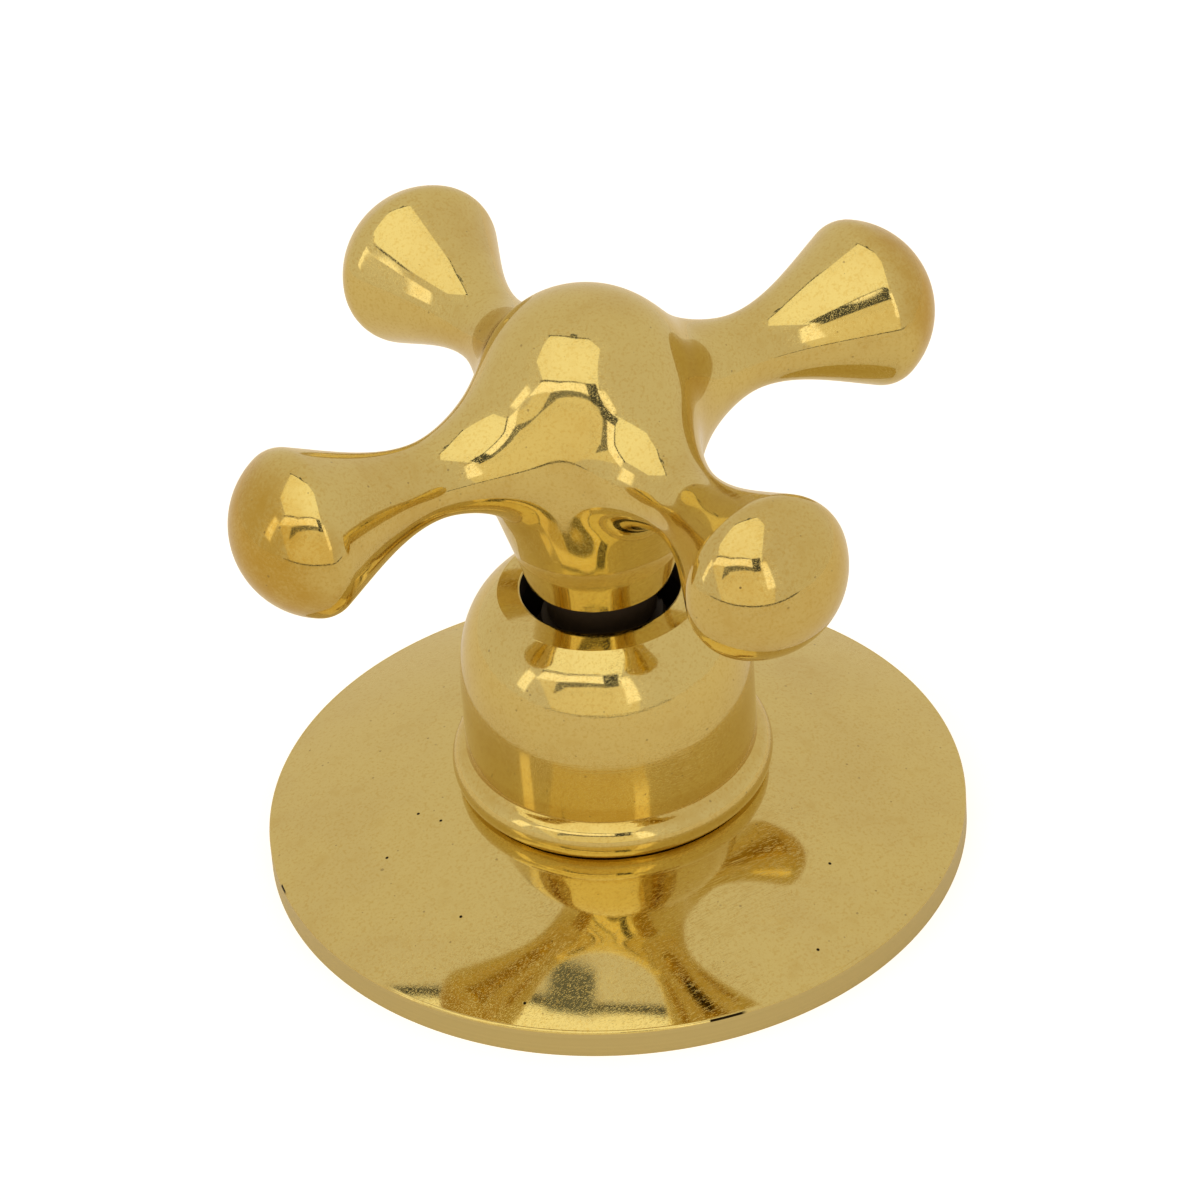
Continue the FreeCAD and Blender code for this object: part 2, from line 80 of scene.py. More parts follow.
NECK_R = 7.3
NECK_Z = 32.7
BELLY = (9.9, 44.0)
WIDEST = (9.75, 50.6)
CROWN = (8.75, 58.9)
DOME = (6.45, 61.85)
HUB_TOP = 63.82
ARM_Z = 50.9
ARM_ROOT_R = 6.0
ARM_ROOT_END = 7.5
ARM_NECK_R = 3.85
ARM_NECK_AT = 18.0
ARM_LENGTH = 38.3
ARM_BLEND = 1.8
KNOB_R = 8.45
KNOB_DEPTH = 6.55
KNOB_EDGE_R = 2.9
FLANK_SLOPE = math.radians(25.0)
FLANK_PULL = 0.33
SOCKET_R = 5.5
SOCKET_SHOULDER = 34.95
SPLINE_SOCKET_R = 4.55
SPLINE_SOCKET_TOP = 45.95
GRUB_HOLE_R = 2.05
GRUB_Z = 38.9
GRUB_ANGLE = math.radians(45)

NOSE_R = 10.48
NOSE_LOW = -11.4
NOSE_HIGH = -3.2
THREAD_PITCH = 1.81
THREAD_DEPTH = 1.1

# How finely the meshes are made: lengths in millimetres, but in metres where a name says so
LATHE_SIDES = 360
ROUGH_SIDES = 72
ROUGH_TIP_R = 0.05
HUB_BELOW_NECK = 6.0
HANDLE_VOXEL = 0.45
SKIN_STEPS = 6
SKIN_NEAR = 0.004
CUT_NEAR = 1e-4
ABOVE_CUT = 1e-3
TINY = 1e-9
POINTS_AT_ONCE = 4000
GRUB_SIDES = 64
GRUB_CUT_LENGTH = 12.0
GRUB_CUT_AT = 9.0
THREAD_ROWS = 12
WELD_METRES = 1e-6
ON_NOSE_METRES = 1e-5
SHARP_ANGLE = math.radians(35)

# The photograph's camera: millimetres, degrees and pixels of its 1200 x 1200 frame
VIEW_TURN = math.radians(29.0)
VIEW_RISE = math.radians(37.30)
VIEW_ROLL = math.radians(4.327)
VIEW_DISTANCE = 659.58
VIEW_SHIFT = (0.154, -22.746)
VIEW_FOCAL_PX = 6554.25
FRAME_PX = 1200
SENSOR_MM = 36.0

# Colours of the pieces
BRASS = rgba(0.688, 0.558, 0.209)
TARNISH = rgba(0.533, 0.342, 0.0582)
SMUDGE = rgba(0.654, 0.558, 0.281)
PIT = rgba(0.16, 0.10, 0.04)
RIM_DARK = rgba(0.539, 0.447, 0.199)
RIM_LIGHT = rgba(0.724, 0.612, 0.293)
# Painted shade in the bell, on the works in its mouth and in the rim's nicks; the first also darkens pits
GRIME_AND_SHADE = rgba(0.018, 0.011, 0.004)
PAINTED_SHADE_BROWN = rgba(0.04, 0.022, 0.008)
PAINTED_SHADE_WARM = rgba(0.045, 0.027, 0.012)
TURNED_BRASS = rgba(0.619, 0.468, 0.194)
AGED_BRASS = rgba(0.20, 0.12, 0.035)
STEEL = rgba(0.62, 0.61, 0.58)
STEEL_LINES = rgba(0.40, 0.39, 0.37)
RUBBER = rgba(0.022, 0.022, 0.021)
RUBBER_WORN = rgba(0.055, 0.053, 0.05)
FOAM = rgba(0.12, 0.12, 0.12)
FOAM_LIGHT = rgba(0.24, 0.24, 0.235)
FIBRE = rgba(0.30, 0.06, 0.04)
FIBRE_LIGHT = rgba(0.44, 0.11, 0.07)
FIBRE_STRETCH = (1, 1, 6)
POLYMER = rgba(0.86, 0.85, 0.81)
POLYMER_DULL = rgba(0.80, 0.78, 0.73)

# Scratches in the brass: length in millimetres and direction, how much longer than wide, and the noise's
# heights where one begins and is full
SCRATCHES = [(3.2, (0.3, 0.9, 0.4)), (2.4, (1.2, 0.2, 2.0))]
SCRATCH_STRETCH = (1.0, 45.0, 45.0)
SCRATCH_LEVEL = (0.655, 0.69)
# Dots on it: spacing of their cells in millimetres, share of cells with a dot, and its largest size in cells
SPECKS = (0.55, 0.045, 0.26)
PITS = (2.6, 0.035, 0.09)
# The plate's own pits as (x, y) in millimetres, and their radius
PLATE_PITS = [
    (-23.5, -9.3), (-23.9, -21.8), (10.3, -23.5), (3.4, -31.8), (-24.9, 2.7), (-18.4, 3.0), (-19.5, 5.6),
]
PLATE_PIT_R = 0.2
# The rim's nicks, painted as shade, as (from, to) in degrees around it, and how softly they start and end
RIM_NICKS = [(-107.0, -100.5), (165.5, 168.5)]
NICK_ENDS = (0.3, 1.2)
# Where the rim's satin and nicks begin and are full: millimetres in from its side and down from its top
SATIN_INSET = (0.22, 0.08)
SATIN_DROP = (0.18, 0.38)
NICK_INSET = (0.15, 0.10)
NICK_DROP = (0.32, 0.26)
# Pitch of the turning lines in millimetres
RIM_PITCH = 0.16
BELL_PITCH = 0.22
WORKS_PITCH = 0.18
STEEL_PITCH = 0.12
# Where the brass darkens, in millimetres: painted shade in the corner above the bell's bead, and tarnish out
# along the handle's arms
BEAD_CORNER_SHADE = (11.2, 12.0, 13.6, 14.2)
KNOB_TARNISH = (36.6, 42.8)
KNOB_TARNISH_WANDER = 14.0
X_KNOBS_TARNISH = 1.0
Y_KNOBS_TARNISH = 0.3
# Painted shade on the works inside the bell begins at the first height and is full above the second, in
# millimetres
MOUTH_SHADE_FROM = 23.5
MOUTH_SHADE_FULL = 25.5

# The floor, in millimetres: a hole for the works, and a straight band of painted shade along its front edge,
# only in reflections
FLOOR = rgba(0.70, 0.62, 0.49)
FLOOR_LIFT = rgba(0.66, 0.68, 0.71)
FLOOR_IN_METAL = 0.23
FLOOR_HOLE_R = 34.6
FLOOR_R = 330.0
FLOOR_FRONT = 240.0
FLOOR_SHADE_BAND = 26.0
FLOOR_SIDES = 180

# The room
WHITE = rgba(1, 1, 1)
ROOM = rgba(0.791, 0.706, 0.603)
CEILING = rgba(0.814, 0.733, 0.629)
CEILING_REACH = 60.0
ZENITH_NEAR = 1e-4
SOFTBOX = rgba(1.29, 1.19, 0.959)
FLAP = rgba(1.55, 1.42, 1.24)
FRAME = rgba(0.07, 0.07, 0.065)
CAMERA = rgba(0.10, 0.10, 0.10)
PATCH = rgba(0.17, 0.17, 0.16)
FRONT = rgba(1.01, 0.867, 0.598)
SHADE = rgba(0.256, 0.239, 0.206)
# Its shapes on a flat chart of the sky: degrees from straight overhead, x to the camera's right, y towards
# it. Each has convex corners, a colour and the softness of its edges.
ROOM_SHAPES = [
    # the brighter part of the room below the camera
    ([(-56, 36), (18, 50), (34, 84), (40, 140), (-75, 140), (-62, 66)], FRONT, 1.5),
    # the softbox overhead in two halves, with the back and front bars of its frame
    ([(-25.4, -22.9), (-4.2, -13.0), (-4.2, -8), (-26, -16)], FRAME, 0.4),
    ([(-6, -13.3), (5.6, -10.9), (5.6, -6), (-6, -8)], FRAME, 0.4),
    ([(-47, 27), (-29, 37), (-30, 41.4), (-48, 31.6)], FRAME, 0.5),
    ([(-29, 37), (12, 48), (12, 51.4), (-30, 41.2)], FRAME, 0.5),
    ([(-24, -20.6), (-3.6, -11.3), (-3.6, 46), (-29, 39), (-45, 28), (-45, 4), (-29.5, -16)], SOFTBOX, 0.4),
    ([(-6, -11.9), (4.6, -9.7), (14.8, 3.5), (11, 50), (-6, 45.3)], SOFTBOX, 0.4),
    # a dark thing behind its back edge
    ([(-8.3, -18.8), (-3.8, -16.8), (-3.8, -11), (-9.8, -13.4)], PATCH, 0.6),
    # the bright flap in front of it, with its legs
    ([(-30, 40.4), (12, 51.0), (9, 60), (-40, 46)], FLAP, 0.7),
    ([(-46, 29.6), (-30, 40.4), (-40, 46), (-58, 33)], FLAP, 0.7),
    ([(9, 50.8), (17, 50), (34, 78), (20, 84)], FLAP, 1.5),
    ([(-82, 24), (-58, 20), (-56, 31), (-80, 37)], FLAP, 1.5),
    # the gap under the flap and the camera
    ([(-40, 46), (0, 58), (-1, 61.5), (-38, 54.5)], SHADE, 0.7),
    ([(-41, 46), (-33, 50), (-38, 56), (-51, 58)], SHADE, 0.7),
    ([(-3, 46.5), (8.5, 45.5), (9.5, 61.5), (-2, 62.5)], CAMERA, 0.7),
]


# Curves in a plane
def bezier(poles, count=48):
    """Points along the Bezier curve with these poles."""
    pts = np.array(poles, float)
    t = np.linspace(0, 1, count)[:, None, None]
    layers = np.repeat(pts[None], count, axis=0)
    while layers.shape[1] > 1:
        layers = layers[:, :-1] * (1 - t) + layers[:, 1:] * t
    return layers[:, 0]


def spline_through(points, start, end, count=160):
    """Points along a smooth cubic through the given points, clamped to the start and end directions."""
    p = np.array(points, float)
    h = np.linalg.norm(np.diff(p, axis=0), axis=1)
    n = len(p)
    rows = np.eye(n)
    slopes = np.zeros((n, 2))
    slopes[0] = np.array(start) / np.linalg.norm(start)
    slopes[-1] = np.array(end) / np.linalg.norm(end)
    for i in range(1, n - 1):
        rows[i, i - 1 : i + 2] = h[i], 2 * (h[i - 1] + h[i]), h[i - 1]
        before = (p[i] - p[i - 1]) / h[i - 1]
        after = (p[i + 1] - p[i]) / h[i]
        slopes[i] = 3 * (h[i] * before + h[i - 1] * after)
    slopes = np.linalg.solve(rows, slopes)
    out = []
    for i in range(n - 1):
        t = np.linspace(0, 1, max(8, int(count * h[i] / h.sum())))[:, None]
        if i:
            t = t[1:]
        out.append(
            (1 + 2 * t) * (1 - t) ** 2 * p[i]
            + t * (1 - t) ** 2 * h[i] * slopes[i]
            + t * t * (3 - 2 * t) * p[i + 1]
            + t * t * (t - 1) * h[i] * slopes[i + 1]
        )
    return np.concatenate(out)


def arc_through(a, middle, b, count=32):
    """Points along the circle's arc from a to b through the middle point."""
    (ax, ay), (mx, my), (bx, by) = a, middle, b
    lhs = 2 * np.array([[mx - ax, my - ay], [bx - ax, by - ay]])
    rhs = np.array([mx * mx - ax * ax + my * my - ay * ay, bx * bx - ax * ax + by * by - ay * ay])
    cx, cy = np.linalg.solve(lhs, rhs)
    r = math.hypot(ax - cx, ay - cy)
    start, via, stop = (math.atan2(y - cy, x - cx) for x, y in (a, middle, b))
    turn = (stop - start) % (2 * math.pi)
    if (via - start) % (2 * math.pi) > turn:
        turn -= 2 * math.pi
    return circle_run((cx, cy), r, start, start + turn, count)


def circle_run(centre, r, start, stop, count):
    """Points along a circle between two angles from the first axis."""
    t = np.linspace(start, stop, count)
    return np.stack([centre[0] + r * np.cos(t), centre[1] + r * np.sin(t)], axis=1)


def straight(a, b, count=2):
    t = np.linspace(0, 1, count)[:, None]
    return np.array(a, float) * (1 - t) + np.array(b, float) * t


def corner_round(a, corner, b, r, count=7):
    """A rounded corner of radius r between the straight ways from a and to b."""
    c = np.array(corner, float)
    u = (np.array(a) - c) / np.linalg.norm(np.array(a) - c)
    v = (np.array(b) - c) / np.linalg.norm(np.array(b) - c)
    half = math.acos(np.clip(u @ v, -1, 1)) / 2
    reach = r / math.tan(half)
    centre = c + (u + v) / np.linalg.norm(u + v) * r / math.sin(half)
    p, q = c + u * reach, c + v * reach
    middle = centre + (c - centre) / np.linalg.norm(c - centre) * r
    return arc_through(tuple(p), tuple(middle), tuple(q), count)


# Meshes
def new_object(name, mesh):
    obj = bpy.data.objects.new(name, mesh)
    bpy.context.scene.collection.objects.link(obj)
    return obj


def lathe(name, stretches):
    """A closed turned surface about Z. Each stretch is a smooth run of (r, z) points in millimetres, and the
    outline runs with the material on its left. Corners between stretches stay sharp."""
    profile, row_normals = [], []
    for run in stretches:
        step = np.gradient(run, axis=0)
        normal = np.stack([step[:, 1], -step[:, 0]], axis=1)
        normal /= np.linalg.norm(normal, axis=1, keepdims=True)
        row_normals.extend(zip(normal, normal[1:]))
        profile.extend(run[:-1])
    profile = np.array(profile)
    rows = len(profile)
    turn = 2 * math.pi * np.arange(LATHE_SIDES) / LATHE_SIDES
    cs, sn = np.cos(turn), np.sin(turn)
    verts = np.empty((rows, LATHE_SIDES, 3))
    verts[..., 0] = profile[:, :1] * cs
    verts[..., 1] = profile[:, :1] * sn
    verts[..., 2] = profile[:, 1:2]
    faces, normals = [], []
    for i in range(rows):
        this, after = i * LATHE_SIDES, (i + 1) % rows * LATHE_SIDES
        (r0, z0), (r1, z1) = row_normals[i]
        for j in range(LATHE_SIDES):
            m = (j + 1) % LATHE_SIDES
            faces.append((this + j, this + m, after + m, after + j))
            normals.append((r0 * cs[j], r0 * sn[j], z0))
            normals.append((r0 * cs[m], r0 * sn[m], z0))
            normals.append((r1 * cs[m], r1 * sn[m], z1))
            normals.append((r1 * cs[j], r1 * sn[j], z1))
    mesh = bpy.data.meshes.new(name)
    mesh.from_pydata((verts.reshape(-1, 3) * MM).tolist(), [], faces)
    mesh.polygons.foreach_set("use_smooth", [True] * len(faces))
    mesh.normals_split_custom_set(normals)
    return new_object(name, mesh)


def wall_plate():
    rim_side = (PLATE_R, RIM_HEIGHT - RIM_ROUND)
    rim_edge = (PLATE_R - RIM_ROUND, RIM_HEIGHT)
    half = RIM_ROUND * (1 - math.sqrt(0.5))
    seat = (SEAT_R, SEAT_Z)
    recess_r = PLATE_R - RIM_LAND
    step_r = recess_r - GASKET_WIDTH
    slope = (SEAT_Z - RIM_HEIGHT) / (rim_edge[0] - SEAT_R)
    step_z = SEAT_Z - PLATE_WALL - slope * (step_r - SEAT_R)
    chord = np.array(rim_edge) - np.array(seat)
    out = np.array([-chord[1], chord[0]]) / np.linalg.norm(chord)
    crown = (np.array(seat) + np.array(rim_edge)) / 2 + DOME_SAG * out
    back = SEAT_Z - PLATE_WALL
    return lathe("plate", [
        straight((PLATE_BORE_R, SEAT_Z), (PLATE_BORE_R, back)),
        straight((PLATE_BORE_R, back), (SEAT_R, back)),
        straight((SEAT_R, back), (step_r, step_z)),
        straight((step_r, step_z), (step_r, GASKET_THICKNESS)),
        straight((step_r, GASKET_THICKNESS), (recess_r, GASKET_THICKNESS)),
        straight((recess_r, GASKET_THICKNESS), (recess_r, 0)),
        straight((recess_r, 0), (PLATE_R, 0)),
        straight((PLATE_R, 0), rim_side),
        arc_through(rim_side, (PLATE_R - half, RIM_HEIGHT - half), rim_edge, 9),
        arc_through(rim_edge, tuple(crown), seat, 40),
        straight(seat, (PLATE_BORE_R, SEAT_Z)),
    ])


def bell():
    inner_top = (BELL_INNER_R, BELL_STRAIGHT_Z)
    mouth_base = (MOUTH_R, LIP_Z - LIP_THICKNESS)
    wall = BELL_R - BELL_INNER_R
    inner_middle = (SHOULDER[0] - wall, SHOULDER[1] - wall)
    bead_top = (BELL_R, SEAT_Z + BEAD_HEIGHT)
    mouth, lip = (MOUTH_R, LIP_Z + LIP_CROWN), (LIP_R, LIP_Z)
    foot, rebate = (FOOT_R, SEAT_Z + FOOT_GAP), (FOOT_R - FOOT_REBATE, SEAT_Z)
    skin = spline_through([(BELL_R, BELL_STRAIGHT_Z), SHOULDER, lip], (0, 1), SHOULDER_END, 90)
    lip_in = corner_round(lip, mouth, mouth_base, LIP_EDGE_R)
    lip_out = corner_round(tuple(skin[-4]), lip, mouth, LIP_EDGE_R)
    before_lip = skin[skin[:, 1] < lip_out[0][1] - 0.01]
    return lathe("bell_cover", [
        straight((BELL_INNER_R, SEAT_Z), rebate),
        straight(rebate, (rebate[0], foot[1])),
        straight((rebate[0], foot[1]), foot),
        arc_through(foot, (BEAD_R, SEAT_Z + BEAD_HEIGHT / 2), bead_top, 40),
        straight(bead_top, (BELL_R, BELL_STRAIGHT_Z), 6),
        np.concatenate([before_lip, lip_out[:1]]),
        lip_out,
        straight(lip_out[-1], lip_in[0], 4),
        lip_in,
        straight(lip_in[-1], mouth_base, 3),
        arc_through(mouth_base, inner_middle, inner_top, 24),
        straight(inner_top, (BELL_INNER_R, SEAT_Z), 4),
    ])


def hub_profile():
    """(r, z) from below the neck's end to the top of the hub."""
    lean = (BELLY[0] - NECK_R, BELLY[1] - NECK_Z)
    knots = [(NECK_R, NECK_Z), BELLY, WIDEST, CROWN, DOME, (0, HUB_TOP)]
    side = spline_through(knots, lean, (-1, 0), 220)
    drop = np.array(lean) / np.linalg.norm(lean) * HUB_BELOW_NECK
    return np.concatenate([[side[0] - drop], side])


def arm_profile():
    """(distance along the arm, radius) from the handle's axis to the arm's tip."""
    knob_at, core_r = ARM_LENGTH - KNOB_DEPTH, KNOB_R - KNOB_EDGE_R
    ball_r = (KNOB_DEPTH**2 + core_r**2 - KNOB_EDGE_R**2) / (2 * (KNOB_DEPTH - KNOB_EDGE_R))
    ball_at = ARM_LENGTH - ball_r
    ball_edge = math.atan2(core_r, knob_at - ball_at)
    edge = circle_run((knob_at, core_r), KNOB_EDGE_R, math.pi / 2 + FLANK_SLOPE, ball_edge, 40)
    root, neck, flank = (ARM_ROOT_END, ARM_ROOT_R), (ARM_NECK_AT, ARM_NECK_R), edge[0]
    flare = (ARM_NECK_AT - ARM_ROOT_END) / 3
    run = FLANK_PULL * (flank[0] - ARM_NECK_AT)
    rise = run * math.tan(FLANK_SLOPE)
    runs = [
        straight((0, ARM_ROOT_R), root, 6),
        bezier([root, (ARM_ROOT_END + flare, ARM_ROOT_R), (ARM_NECK_AT - flare, ARM_NECK_R), neck]),
        bezier([neck, (ARM_NECK_AT + run, ARM_NECK_R), (flank[0] - run, flank[1] - rise), flank]),
        edge,
        circle_run((ball_at, 0), ball_r, ball_edge, 0, 50),
    ]
    return np.concatenate([runs[0]] + [r[1:] for r in runs[1:]])


HUB_CURVE = hub_profile()
ARM_CURVE = arm_profile()


def profile_distance(q, curve, outward):
    """Signed distance of the plane points q to the curve, and its outward normals at the nearest points."""
    a, d = curve[:-1], np.diff(curve, axis=0)
    length2 = (d * d).sum(1)
    flat = np.stack([d[:, 1], -d[:, 0]], axis=1) * outward
    flat /= np.linalg.norm(flat, axis=1, keepdims=True)
    knots = np.concatenate([flat[:1], flat[:-1] + flat[1:], flat[-1:]])
    knots /= np.linalg.norm(knots, axis=1, keepdims=True)
    dist, normal = np.empty(len(q)), np.empty((len(q), 2))
    for lo in range(0, len(q), POINTS_AT_ONCE):
        some = slice(lo, lo + POINTS_AT_ONCE)
        p = q[some, None]
        t = (((p - a) * d).sum(2) / length2).clip(0, 1)
        gap = p - (a + t[..., None] * d)
        best = (gap * gap).sum(2).argmin(1)
        pick = np.arange(len(best))
        w = t[pick, best][:, None]
        n = knots[best] * (1 - w) + knots[best + 1] * w
        n /= np.linalg.norm(n, axis=1, keepdims=True)
        dist[some] = (gap[pick, best] * n).sum(1)
        normal[some] = n
    return dist, normal


def handle_field(p):
    """How far each point lies outside the handle's skin, and the slope of that distance: a soft minimum of
    the distances to the hub and to both pairs of arms, so that they flow into each other."""
    x, y, rise = p[:, 0], p[:, 1], p[:, 2] - ARM_Z
    r = np.hypot(x, y).clip(TINY)
    gap, n = profile_distance(np.stack([r, p[:, 2]], axis=1), HUB_CURVE, 1)
    gaps, slopes = [gap], [np.stack([n[:, 0] * x / r, n[:, 0] * y / r, n[:, 1]], axis=1)]
    for along, across in ((x, y), (y, x)):
        rho = np.hypot(across, rise).clip(TINY)
        gap, n = profile_distance(np.stack([np.abs(along), rho], axis=1), ARM_CURVE, -1)
        level = (n[:, 0] * np.sign(along), n[:, 1] * across / rho)
        gaps.append(gap)
        slopes.append(np.stack(level[:: 1 if along is x else -1] + (n[:, 1] * rise / rho,), axis=1))
    nearest = np.min(gaps, axis=0)
    share = np.exp((nearest - gaps) / ARM_BLEND)
    total = share.sum(axis=0)
    slope = (share[..., None] * slopes).sum(axis=0) / total[:, None]
    return nearest - ARM_BLEND * np.log(total), slope


def revolved_points(curve, place):
    """Vertices and faces of a closed turned solid; place takes (along, across, across) to the frame."""
    verts, faces = [], []
    for a, r in curve:
        for j in range(ROUGH_SIDES):
            t = 2 * math.pi * j / ROUGH_SIDES
            verts.append(place(a, r * math.cos(t), r * math.sin(t)))
    last = (len(curve) - 1) * ROUGH_SIDES
    for this in range(0, last, ROUGH_SIDES):
        after = this + ROUGH_SIDES
        for j in range(ROUGH_SIDES):
            m = (j + 1) % ROUGH_SIDES
            faces.append((this + j, this + m, after + m, after + j))
    faces.append(tuple(range(ROUGH_SIDES))[::-1])
    faces.append(tuple(last + j for j in range(ROUGH_SIDES)))
    return verts, faces


def rough_handle():
    """The hub and arms as overlapping solids, remeshed into one even skin. In millimetres."""
    verts, faces = [], []

    def take(curve, place):
        v, f = revolved_points(curve, place)
        faces.extend(tuple(i + len(verts) for i in face) for face in f)
        verts.extend(v)

    hub = [(z, max(r, ROUGH_TIP_R)) for r, z in HUB_CURVE[::3]] + [(HUB_TOP, ROUGH_TIP_R)]
    arm = [(s, max(r, ROUGH_TIP_R)) for s, r in ARM_CURVE[::3]] + [(ARM_LENGTH, ROUGH_TIP_R)]
    take(hub, lambda a, b, c: (b, c, a))
    for cs, sn in ((1, 0), (0, 1), (-1, 0), (0, -1)):
        take(arm, lambda a, b, c: (a * cs - b * sn, a * sn + b * cs, ARM_Z + c))
    mesh = bpy.data.meshes.new("rough_handle")
    mesh.from_pydata(verts, [], faces)
    obj = new_object("rough_handle", mesh)
    remesh = obj.modifiers.new("remesh", "REMESH")
    remesh.mode = "VOXEL"
    remesh.voxel_size = HANDLE_VOXEL
    made = applied_mesh(obj)
    bpy.data.objects.remove(obj)
    return made


def applied_mesh(obj):
    """A new mesh of the object with its modifiers applied."""
    return bpy.data.meshes.new_from_object(obj.evaluated_get(bpy.context.evaluated_depsgraph_get()))


def mesh_points(mesh):
    p = np.empty(len(mesh.vertices) * 3)
    mesh.vertices.foreach_get("co", p)
    return p.reshape(-1, 3)


def cut_socket(mesh):
    """Cut the neck's end flat and sink the stepped socket for the spindle's adapter into it."""
    work = bmesh.new()
    work.from_mesh(mesh)
    cut = bmesh.ops.bisect_plane(
        work, geom=work.verts[:] + work.edges[:] + work.faces[:], dist=CUT_NEAR,
        plane_co=(0, 0, NECK_Z), plane_no=(0, 0, 1), clear_inner=True)
    edges = [e for e in cut["geom_cut"] if isinstance(e, bmesh.types.BMEdge)]
    for r, z in ((SOCKET_R, NECK_Z), (SOCKET_R, SOCKET_SHOULDER), (SPLINE_SOCKET_R, SOCKET_SHOULDER),
                 (SPLINE_SOCKET_R, SPLINE_SOCKET_TOP)):
        grown = bmesh.ops.extrude_edge_only(work, edges=edges)["geom"]
        for v in grown:
            if isinstance(v, bmesh.types.BMVert):
                turn = math.atan2(v.co.y, v.co.x)
                v.co = (r * math.cos(turn), r * math.sin(turn), z)
        edges = [e for e in grown if isinstance(e, bmesh.types.BMEdge)]
    bmesh.ops.contextual_create(work, geom=edges)
    bmesh.ops.recalc_face_normals(work, faces=work.faces[:])
    work.to_mesh(mesh)
    work.free()


def drill_grub_hole(obj):
    """Drill the grub screw's hole into the neck. The cutter is turned by half a side, which keeps the mesh
    closed where the two meet."""
    work = bmesh.new()
    bmesh.ops.create_cone(work, cap_ends=True, segments=GRUB_SIDES, radius1=GRUB_HOLE_R, radius2=GRUB_HOLE_R,
                          depth=GRUB_CUT_LENGTH)
    turn = Matrix.Rotation(GRUB_ANGLE, 4, "Z") @ Matrix.Rotation(math.pi / 2, 4, "Y")
    turn = turn @ Matrix.Rotation(math.pi / GRUB_SIDES, 4, "Z")
    place = Matrix.Translation((0, 0, GRUB_Z)) @ turn @ Matrix.Translation((0, 0, GRUB_CUT_AT))
    bmesh.ops.transform(work, matrix=place, verts=work.verts)
    cutter = bpy.data.meshes.new("grub_cutter")
    work.to_mesh(cutter)
    work.free()
    tool = new_object("grub_cutter", cutter)
    drill = obj.modifiers.new("grub_hole", "BOOLEAN")
    drill.object = tool
    drill.operation = "DIFFERENCE"
    drill.solver = "EXACT"
    made = applied_mesh(obj)
    obj.modifiers.clear()
    obj.data = made
    bpy.data.objects.remove(tool)


def smooth_skin(mesh):
    """Exact normals on the handle's skin and flat ones in its holes, and the size in metres."""
    p = mesh_points(mesh)
    value, slope = handle_field(p)
    normal = slope / np.linalg.norm(slope, axis=1, keepdims=True)
    on_skin = np.abs(value) < SKIN_NEAR
    normals = []
    for face in mesh.polygons:
        skin = all(on_skin[v] for v in face.vertices) and face.center.z > NECK_Z + ABOVE_CUT
        for v in face.vertices:
            normals.append(tuple(normal[v]) if skin else tuple(face.normal))
    mesh.vertices.foreach_set("co", (p * MM).ravel())
    mesh.polygons.foreach_set("use_smooth", [True] * len(mesh.polygons))
    mesh.normals_split_custom_set(normals)


def cross_handle():
    mesh = rough_handle()
    p = mesh_points(mesh)
    for _ in range(SKIN_STEPS):
        value, slope = handle_field(p)
        p -= value[:, None] * slope / (slope * slope).sum(axis=1, keepdims=True)
    mesh.vertices.foreach_set("co", p.ravel())
    cut_socket(mesh)
    obj = new_object("handle", mesh)
    drill_grub_hole(obj)
    smooth_skin(obj.data)
    return obj


def threaded_headwork():
    """The headwork with a thread cut into its nose, between the two circles that end the plain cylinder."""
    work = bmesh.new()
    work.from_mesh(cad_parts["headwork_body"].data)
    bmesh.ops.remove_doubles(work, verts=work.verts[:], dist=WELD_METRES)
    around = [v for v in work.verts if abs(math.hypot(v.co.x, v.co.y) - NOSE_R * MM) < ON_NOSE_METRES]
    low, high = ([v for v in around if abs(v.co.z - z * MM) < ON_NOSE_METRES] for z in (NOSE_LOW, NOSE_HIGH))
    nose = set(low + high)
    plain = [f for f in work.faces if nose.issuperset(f.verts) and abs(f.normal.z) < 0.1]
    bmesh.ops.delete(work, geom=plain, context="FACES")
    for loop in (low, high):
        loop.sort(key=lambda v: math.atan2(v.co.y, v.co.x))
    rows = round((NOSE_HIGH - NOSE_LOW) / THREAD_PITCH * THREAD_ROWS)
    grid = [low]
    for i in range(1, rows):
        z = NOSE_LOW + (NOSE_HIGH - NOSE_LOW) * i / rows
        ends = min(1, (z - NOSE_LOW) / THREAD_PITCH, (NOSE_HIGH - z) / THREAD_PITCH)
        ring = []
        for v in low:
            turn = math.atan2(v.co.y, v.co.x)
            wave = 0.5 - 0.5 * math.cos(2 * math.pi * (z - NOSE_LOW) / THREAD_PITCH - turn)
            r = NOSE_R - THREAD_DEPTH * wave * ends
            ring.append(work.verts.new((r * MM * math.cos(turn), r * MM * math.sin(turn), z * MM)))
        grid.append(ring)
    grid.append(high)
    for below, above in zip(grid, grid[1:]):
        for j in range(len(low)):
            work.faces.new((below[j - 1], below[j], above[j], above[j - 1]))
    mesh = bpy.data.meshes.new("threaded_headwork")
    work.to_mesh(mesh)
    work.free()
    if "custom_normal" in mesh.attributes:
        mesh.attributes.remove(mesh.attributes["custom_normal"])
    mesh.polygons.foreach_set("use_smooth", [True] * len(mesh.polygons))
    mesh.set_sharp_from_angle(angle=SHARP_ANGLE)
    return new_object("threaded_headwork", mesh)


